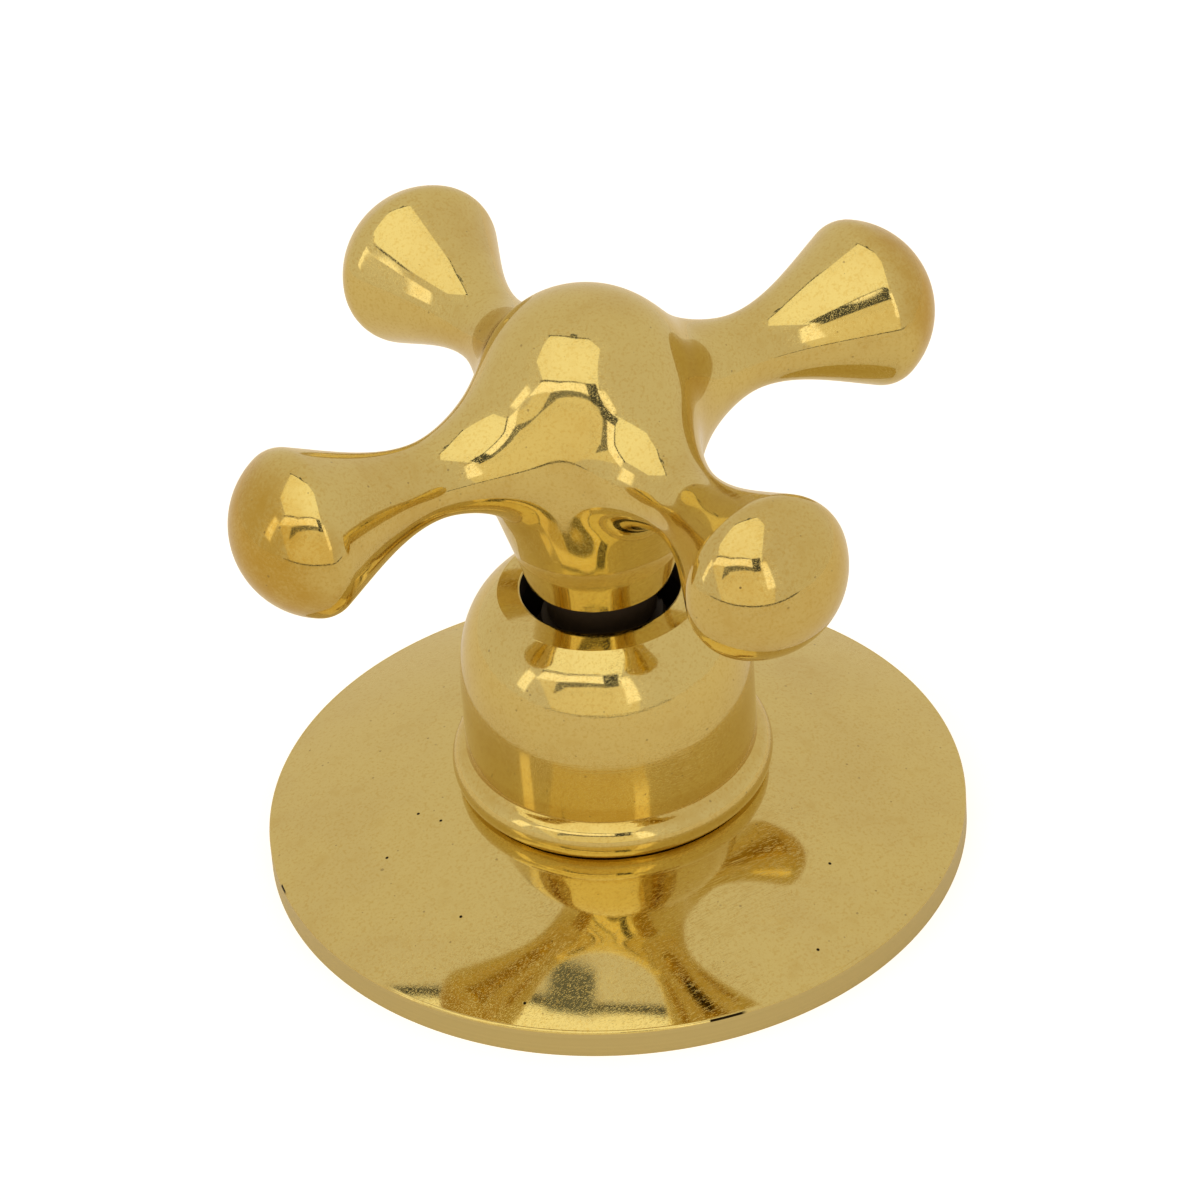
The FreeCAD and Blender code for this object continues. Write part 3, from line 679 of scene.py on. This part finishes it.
# Shader nodes
class Nodes:
    """Short names for the nodes of one shader tree. Inputs are numbers, colours or other nodes' outputs."""

    def __init__(self, tree):
        self.tree = tree
        tree.nodes.clear()

    def add(self, kind, inputs=(), **settings):
        node = self.tree.nodes.new(kind)
        for key, value in settings.items():
            setattr(node, key, value)
        for key, value in dict(inputs).items():
            self.plug(node.inputs[key], value)
        return node

    def plug(self, socket, value):
        if isinstance(value, bpy.types.NodeSocket):
            self.tree.links.new(value, socket)
        else:
            socket.default_value = value

    def math(self, operation, *values):
        return self.add("ShaderNodeMath", enumerate(values), operation=operation).outputs[0]

    def times(self, a, b):
        return self.math("MULTIPLY", a, b)

    def most(self, a, b):
        return self.math("MAXIMUM", a, b)

    def scaled(self, x, by, plus):
        return self.math("MULTIPLY_ADD", x, by, plus)

    def between(self, share, a, b):
        """The number a where the share is 0, b where it is 1."""
        return self.scaled(share, self.math("SUBTRACT", b, a), a)

    def step(self, low, high, x):
        """0 below low, 1 above high, smooth between them."""
        node = self.add("ShaderNodeMapRange", {"Value": x, "From Min": low, "From Max": high},
                        interpolation_type="SMOOTHSTEP")
        return node.outputs["Result"]

    def step_mm(self, low, high, x):
        """A step between two lengths in millimetres, where x is in metres."""
        return self.step(low * MM, high * MM, x)

    def mix(self, factor, a, b):
        """The colour a where the factor is 0, b where it is 1."""
        node = self.add("ShaderNodeMix", data_type="RGBA")
        self.plug(node.inputs[0], factor)
        self.plug(node.inputs[6], a)
        self.plug(node.inputs[7], b)
        return node.outputs[2]

    def vector(self, operation, a, b):
        return self.add("ShaderNodeVectorMath", {0: a, 1: b}, operation=operation).outputs

    def dot(self, a, b):
        return self.vector("DOT_PRODUCT", a, b)["Value"]

    def parts(self, vector):
        return self.add("ShaderNodeSeparateXYZ", {0: vector}).outputs[:]

    def length(self, x, y):
        return self.math("SQRT", self.math("ADD", self.times(x, x), self.times(y, y)))

    def radius(self, vector):
        """Distance from the Z axis."""
        return self.length(*self.parts(vector)[:2])

    def object_point(self):
        return self.add("ShaderNodeTexCoord").outputs["Object"]

    def noise(self, point, scale, detail=2.0, rough=0.5, stretch=None, turn=(0, 0, 0)):
        """Noise with this many features to the metre."""
        if stretch:
            mapping = {"Vector": point, "Scale": stretch, "Rotation": turn}
            point = self.add("ShaderNodeMapping", mapping).outputs[0]
        inputs = {"Vector": point, "Scale": scale, "Detail": detail, "Roughness": rough}
        return self.add("ShaderNodeTexNoise", inputs).outputs["Fac"]

    def cells(self, point, spacing):
        """Cells of this spacing in millimetres."""
        return self.add("ShaderNodeTexVoronoi", {"Vector": point, "Scale": 1 / (spacing * MM)}).outputs

    def bump(self, height, strength, distance=0.0001, normal=None):
        inputs = {"Height": height, "Strength": strength, "Distance": distance}
        if normal is not None:
            inputs["Normal"] = normal
        return self.add("ShaderNodeBump", inputs).outputs[0]


def new_material(name):
    made = bpy.data.materials.new(name)
    made.use_nodes = True
    return made, Nodes(made.node_tree)


def finish_material(nodes, inputs):
    shader = nodes.add("ShaderNodeBsdfPrincipled", inputs)
    nodes.add("ShaderNodeOutputMaterial", {"Surface": shader.outputs[0]})


# Materials
def dots(n, point, spacing, share, size):
    """Scattered dots: the spacing of their cells, the share of cells with a dot, and its largest size."""
    cells = n.cells(point, spacing)
    pick = n.add("ShaderNodeSeparateColor", {"Color": cells["Color"]}).outputs
    chosen = n.step(1 - share, 1 - share + 0.02, pick["Red"])
    reach = n.scaled(pick["Green"], size * 0.6, size * 0.4)
    return n.times(chosen, n.math("LESS_THAN", cells["Distance"], reach))


def hairlines(n, point, length, turn):
    """Sparse fine scratches of about this length in millimetres."""
    lines = n.noise(point, 1 / (length * MM), 1.0, 0.4, SCRATCH_STRETCH, turn)
    return n.step(*SCRATCH_LEVEL, lines)


def turning_lines(n, point, pitch):
    """Fine rings about Z, as a lathe leaves them."""
    z = n.parts(point)[2]
    across = n.add("ShaderNodeCombineXYZ", {"X": n.radius(point), "Z": z}).outputs[0]
    return n.noise(across, 1 / (pitch * MM), 3.0, 0.7)


def polished_brass(name, dullness, special=None):
    """Old hand-polished brass. dullness(n, point, broad) gives the share of tarnish at a point, on the bell
    also of painted shade in a corner, and special(n, point, look) adds what one piece alone shows."""
    made, n = new_material(name)
    point = n.object_point()
    broad = n.noise(point, 70, 3, 0.6)
    cloud = n.noise(point, 420, 4, 0.6)
    grain = n.noise(point, 3200, 2, 0.6)
    hair = n.most(*(hairlines(n, point, length, turn) for length, turn in SCRATCHES))
    specks = dots(n, point, *SPECKS)
    pits = dots(n, point, *PITS)
    # tarnish in patches (on the bell also painted shade in a corner), then finer stains, then specks and pits
    mottle = n.math("ADD", n.times(cloud, 0.6), n.times(grain, 0.4))
    patches = n.scaled(n.step(0.30, 0.60, mottle), 0.45, 0.5)
    dull = n.times(dullness(n, point, broad), patches)
    stain = n.most(n.times(n.step(0.54, 0.72, cloud), 0.22), n.times(n.step(0.48, 0.70, grain), 0.36))
    colour = n.mix(n.times(n.step(0.45, 0.7, broad), 0.22), BRASS, SMUDGE)
    colour = n.mix(dull, colour, TARNISH)
    colour = n.mix(stain, colour, TARNISH)
    colour = n.mix(n.times(specks, 0.42), colour, PIT)
    colour = n.mix(n.times(pits, 0.8), colour, PIT)
    # the polish is finest where nothing has touched it
    rough = n.scaled(cloud, 0.03, 0.022)
    rough = n.scaled(hair, 0.10, rough)
    rough = n.scaled(dull, 0.05, rough)
    # long waves of hand polishing under the fine relief
    waves = n.bump(n.noise(point, 55, 1, 0.4), 0.10, 0.004)
    fine = n.times(n.noise(point, 7500, 2, 0.6), 0.10)
    relief = n.math("SUBTRACT", fine, n.most(pits, n.times(hair, 0.45)))
    look = {
        "Base Color": colour,
        "Metallic": 1.0,
        "Roughness": rough,
        "Normal": n.bump(relief, 0.10, normal=waves),
    }
    if special:
        special(n, point, look)
    finish_material(n, look)
    return made


def plate_dullness(n, point, broad):
    return n.times(n.step(0.45, 0.75, broad), 0.22)


def rim_band(n, point, inset, drop):
    """0 to 1 on the plate's rim, where the way in from its side and the way down from its top both go from
    their first value to their second."""
    outer = n.step_mm(PLATE_R - inset[0], PLATE_R - inset[1], n.radius(point))
    down = n.step_mm(RIM_HEIGHT - drop[0], RIM_HEIGHT - drop[1], n.parts(point)[2])
    return n.times(outer, down)


def plate_marks(n, point, look):
    """The satin rim, painted shade in its nicks, and the plate's few pits."""
    side = rim_band(n, point, SATIN_INSET, SATIN_DROP)
    rings = turning_lines(n, point, RIM_PITCH)
    satin = n.scaled(rings, 0.25, 0.28)
    colour = n.mix(side, look["Base Color"], n.mix(rings, RIM_DARK, RIM_LIGHT))
    rough = n.between(side, look["Roughness"], satin)
    look["Normal"] = n.bump(n.times(rings, side), 0.35, normal=look["Normal"])
    x, y, _ = n.parts(point)
    turn = n.math("DIVIDE", n.math("ARCTAN2", y, x), math.radians(1))
    edge = rim_band(n, point, NICK_INSET, NICK_DROP)
    mark = 0.0
    for low, high in RIM_NICKS:
        within = n.times(n.step(low, low + NICK_ENDS[0], turn), n.step(high, high - NICK_ENDS[1], turn))
        mark = n.most(mark, n.times(within, edge))
    for px, py in PLATE_PITS:
        away = n.vector("SUBTRACT", point, (px * MM, py * MM, 0.0))["Vector"]
        mark = n.most(mark, n.step_mm(PLATE_PIT_R, PLATE_PIT_R * 0.6, n.radius(away)))
    # painted shade in the rim's nicks, and dark pits
    look["Base Color"] = n.mix(mark, colour, GRIME_AND_SHADE)
    look["Roughness"] = n.scaled(mark, 0.4, rough)


def bell_dullness_and_shade(n, point, broad):
    """Tarnish a little everywhere, and painted shade in the corner above the bead."""
    z = n.parts(point)[2]
    low, low_full, high_full, high = BEAD_CORNER_SHADE
    # painted shade in the corner above the bead, in the colour of tarnish
    corner = n.times(n.step_mm(high, high_full, z), n.step_mm(low, low_full, z))
    return n.most(n.times(n.step(0.45, 0.8, broad), 0.2), n.times(corner, 0.35))


def bell_inside(n, point, look):
    """Painted shade, nearly black and matt, on the faces that look inwards, and faint turning lines."""
    x, y, _ = n.parts(point)
    normal = n.add("ShaderNodeNewGeometry").outputs["True Normal"]
    nx, ny, nz = n.parts(n.add("ShaderNodeVectorTransform", {"Vector": normal}, vector_type="NORMAL",
                               convert_from="WORLD", convert_to="OBJECT").outputs[0])
    outward = n.math("ADD", n.times(nx, x), n.times(ny, y))
    # painted shade: the faces that look inwards are nearly black and matt
    inside = n.times(n.step_mm(0.6, 0.0, outward), n.step(0.6, 0.4, nz))
    shade_mottle = n.noise(point, 900, 3, 0.6)
    look["Base Color"] = n.mix(inside, look["Base Color"], n.mix(shade_mottle, GRIME_AND_SHADE, PAINTED_SHADE_BROWN))
    look["Metallic"] = n.math("SUBTRACT", 1.0, inside)
    look["Roughness"] = n.between(inside, look["Roughness"], n.scaled(shade_mottle, 0.3, 0.55))
    look["Normal"] = n.bump(turning_lines(n, point, BELL_PITCH), 0.03, normal=look["Normal"])


def handle_dullness(n, point, broad):
    """The ends of the knobs along X have darkened most, those along Y less."""
    x, y, _ = n.parts(point)
    dull = n.times(n.step(0.42, 0.7, broad), 0.42)
    for way, share in ((x, X_KNOBS_TARNISH), (y, Y_KNOBS_TARNISH)):
        uneven = n.scaled(broad, KNOB_TARNISH_WANDER * MM, n.math("ABSOLUTE", way))
        dull = n.most(dull, n.times(n.step_mm(*KNOB_TARNISH, uneven), share))
    return dull


def turned_brass():
    """Machined brass with turning lines and a brown patina, with painted shade near the bell's mouth."""
    made, n = new_material("turned_brass")
    point = n.object_point()
    rings = turning_lines(n, point, WORKS_PITCH)
    cloud = n.noise(point, 260, 4, 0.6)
    # painted shade on the works inside the bell's mouth: dark and nearly matt
    mouth_shade = n.step_mm(MOUTH_SHADE_FROM, MOUTH_SHADE_FULL, n.parts(point)[2])
    patina = n.most(n.times(n.step(0.35, 0.7, cloud), 0.25), n.times(n.step(0.55, 0.7, rings), 0.25))
    finish_material(n, {
        "Base Color": n.mix(mouth_shade, n.mix(patina, TURNED_BRASS, AGED_BRASS), n.mix(cloud, GRIME_AND_SHADE, PAINTED_SHADE_WARM)),
        "Metallic": n.scaled(mouth_shade, -0.9, 1.0),
        "Roughness": n.scaled(mouth_shade, 0.45, n.scaled(cloud, 0.22, 0.18)),
        "Normal": n.bump(rings, 0.30),
    })
    return made


def bright_steel():
    made, n = new_material("stainless_steel")
    point = n.object_point()
    rings = turning_lines(n, point, STEEL_PITCH)
    cloud = n.noise(point, 500, 3, 0.5)
    finish_material(n, {
        "Base Color": n.mix(n.times(rings, 0.35), STEEL, STEEL_LINES),
        "Metallic": 1.0,
        "Roughness": n.scaled(cloud, 0.2, 0.16),
        "Normal": n.bump(rings, 0.2),
    })
    return made


def matt_stuff(name, colour, other, grain, rough, cells=False, stretch=None):
    """Painted shade on dark metal, rubber, foam, fibre or plastic: two tones in a pattern of the given grain
    in millimetres.
    """
    made, n = new_material(name)
    point = n.object_point()
    if cells:
        fine = n.cells(point, grain)["Distance"]
    else:
        fine = n.noise(point, 1 / (grain * MM), 4, 0.65, stretch)
    cloud = n.noise(point, 180, 3, 0.5)
    finish_material(n, {
        "Base Color": n.mix(n.scaled(cloud, 0.4, n.times(fine, 0.6)), colour, other),
        "Roughness": n.scaled(fine, 0.15, rough),
        "Normal": n.bump(fine, 0.35),
    })
    return made


# Floor, room and camera
def view_axes():
    """Level directions from the object towards the photograph's camera and to the camera's right."""
    toward = Vector((-math.sin(VIEW_TURN), -math.cos(VIEW_TURN), 0))
    right = Vector((math.cos(VIEW_TURN), -math.sin(VIEW_TURN), 0))
    return toward, right


def floor_paper():
    """Pale paper: its own shading keeps the shadow, and what the camera sees of it is lifted to white. The
    metal sees a share of that too, and the band of painted shade along its front edge."""
    made, n = new_material("floor")
    point = n.object_point()
    rays = n.add("ShaderNodeLightPath").outputs
    shown = n.most(rays["Is Glossy Ray"], rays["Is Transmission Ray"])
    seen = n.scaled(shown, FLOOR_IN_METAL, rays["Is Camera Ray"])
    paper = n.times(n.noise(point, 300, 2), 0.05)
    # the band along the front edge is painted shade, seen only by the metal
    edge = FLOOR_FRONT - FLOOR_SHADE_BAND
    inner = n.most(n.step_mm(edge, edge - 1, n.dot(point, view_axes()[0])), rays["Is Camera Ray"])
    finish_material(n, {
        "Base Color": n.mix(inner, FRAME, n.mix(paper, FLOOR, WHITE)),
        "Roughness": 0.9,
        "Emission Color": FLOOR_LIFT,
        "Emission Strength": n.times(seen, inner),
    })
    return made


def floor():
    """A sheet with a hole for the works behind the plate, cut straight in front."""
    view = math.atan2(*view_axes()[0].yx)
    verts, faces = [], []
    for outer in (False, True):
        for j in range(FLOOR_SIDES):
            t = 2 * math.pi * j / FLOOR_SIDES
            r = FLOOR_FRONT / max(math.cos(t - view), FLOOR_FRONT / FLOOR_R) if outer else FLOOR_HOLE_R
            verts.append((r * MM * math.cos(t), r * MM * math.sin(t), 0))
    for j in range(FLOOR_SIDES):
        m = (j + 1) % FLOOR_SIDES
        faces.append((j, FLOOR_SIDES + j, FLOOR_SIDES + m, m))
    mesh = bpy.data.meshes.new("floor")
    mesh.from_pydata(verts, [], faces)
    obj = new_object("floor", mesh)
    mesh.materials.append(floor_paper())


def studio_world():
    world = bpy.data.worlds.new("studio")
    bpy.context.scene.world = world
    world.use_nodes = True
    n = Nodes(world.node_tree)
    way = n.add("ShaderNodeTexCoord").outputs["Generated"]
    ahead, across, up = (n.dot(way, axis) for axis in (*view_axes(), (0, 0, 1)))
    level = n.length(ahead, across)
    from_top = n.math("DIVIDE", n.math("ARCTAN2", level, up), math.radians(1))
    share = n.math("DIVIDE", from_top, n.most(level, ZENITH_NEAR))
    x, y = n.times(across, share), n.times(ahead, share)

    def area(corners, soft):
        """1 inside the convex corners, given clockwise as seen on the chart with y downwards."""
        inside = 1.0
        for (x0, y0), (x1, y1) in zip(corners, corners[1:] + corners[:1]):
            length = math.hypot(x1 - x0, y1 - y0)
            a, b = (y0 - y1) / length, (x1 - x0) / length
            off = n.math("ADD", n.times(x, a), n.times(y, b))
            start = a * x0 + b * y0
            inside = n.times(inside, n.step(start - soft, start + soft, off))
        return inside

    light = n.mix(n.step(CEILING_REACH, 0, from_top), ROOM, CEILING)
    for corners, colour, soft in ROOM_SHAPES:
        light = n.mix(area(corners, soft), light, colour)
    seen = n.add("ShaderNodeLightPath").outputs["Is Camera Ray"]
    background = n.add("ShaderNodeBackground", {"Color": n.mix(seen, light, WHITE), "Strength": 1.0})
    n.add("ShaderNodeOutputWorld", {"Surface": background.outputs[0]})


def camera():
    toward, right = view_axes()
    back = toward * math.cos(VIEW_RISE) + Vector((0, 0, math.sin(VIEW_RISE)))
    up = back.cross(right)
    x = right * math.cos(VIEW_ROLL) - up * math.sin(VIEW_ROLL)
    y = right * math.sin(VIEW_ROLL) + up * math.cos(VIEW_ROLL)
    place = (back * VIEW_DISTANCE - right * VIEW_SHIFT[0] - up * VIEW_SHIFT[1]) * MM
    data = bpy.data.cameras.new("photo_camera")
    data.sensor_width = SENSOR_MM
    data.lens = VIEW_FOCAL_PX * SENSOR_MM / FRAME_PX
    data.clip_start = 0.01
    data.clip_end = 10.0
    obj = new_object("photo_camera", data)
    axes = Matrix((x, y, back)).transposed().to_4x4()
    obj.matrix_world = Matrix.Translation(place) @ axes
    bpy.context.scene.camera = obj


def dress(obj, node, body, material):
    """Give a mesh made here its material, and let it stand for the solid of that node."""
    obj.data.materials.clear()
    obj.data.materials.append(material)
    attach(obj, body)
    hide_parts(node)


camera()
studio_world()
floor()

works = turned_brass()
# painted shade: dark, nearly matt metal for the spindle's extension in the gap under the handle
shade_dark_matt = matt_stuff("painted_shade_metal", GRIME_AND_SHADE, PAINTED_SHADE_WARM, grain=0.6, rough=0.5)
steel = bright_steel()
rubber = matt_stuff("black_rubber", RUBBER, RUBBER_WORN, grain=0.3, rough=0.5)
foam = matt_stuff("grey_foam", FOAM, FOAM_LIGHT, grain=0.5, rough=0.8, cells=True)
fibre = matt_stuff("red_fibre", FIBRE, FIBRE_LIGHT, grain=1.2, rough=0.7, stretch=FIBRE_STRETCH)
polymer = matt_stuff("white_polymer", POLYMER, POLYMER_DULL, grain=0.4, rough=0.3)

dress(wall_plate(), "wall_plate", "housing",
      polished_brass("plate_brass", plate_dullness, plate_marks))
dress(bell(), "bell", "housing", polished_brass("bell_brass", bell_dullness_and_shade, bell_inside))
dress(cross_handle(), "cross_handle", "handle_and_spindle",
      polished_brass("handle_brass", handle_dullness))
dress(threaded_headwork(), "headwork_body", "housing", works)

FINISHES = {
    works: ["extension_sleeve", "sleeve_lock_nut", "spindle", "bearing_washer", "valve_plug", "washer_plate"],
    # the spindle's extension and circlip are painted dark as shade
    shade_dark_matt: ["spindle_extension", "spindle_circlip"],
    steel: ["handle_grub_screw", "extension_screw", "washer_screw"],
    rubber: ["bell_seal", "spindle_o_rings", "valve_washer"],
    foam: ["wall_gasket"],
    fibre: ["body_gasket"],
    polymer: ["thrust_washer"],
}
for finish, names in FINISHES.items():
    for name in names:
        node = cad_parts[name]
        node.data.materials.clear()
        node.data.materials.append(finish)

scene = bpy.context.scene
scene.view_settings.view_transform = "Standard"
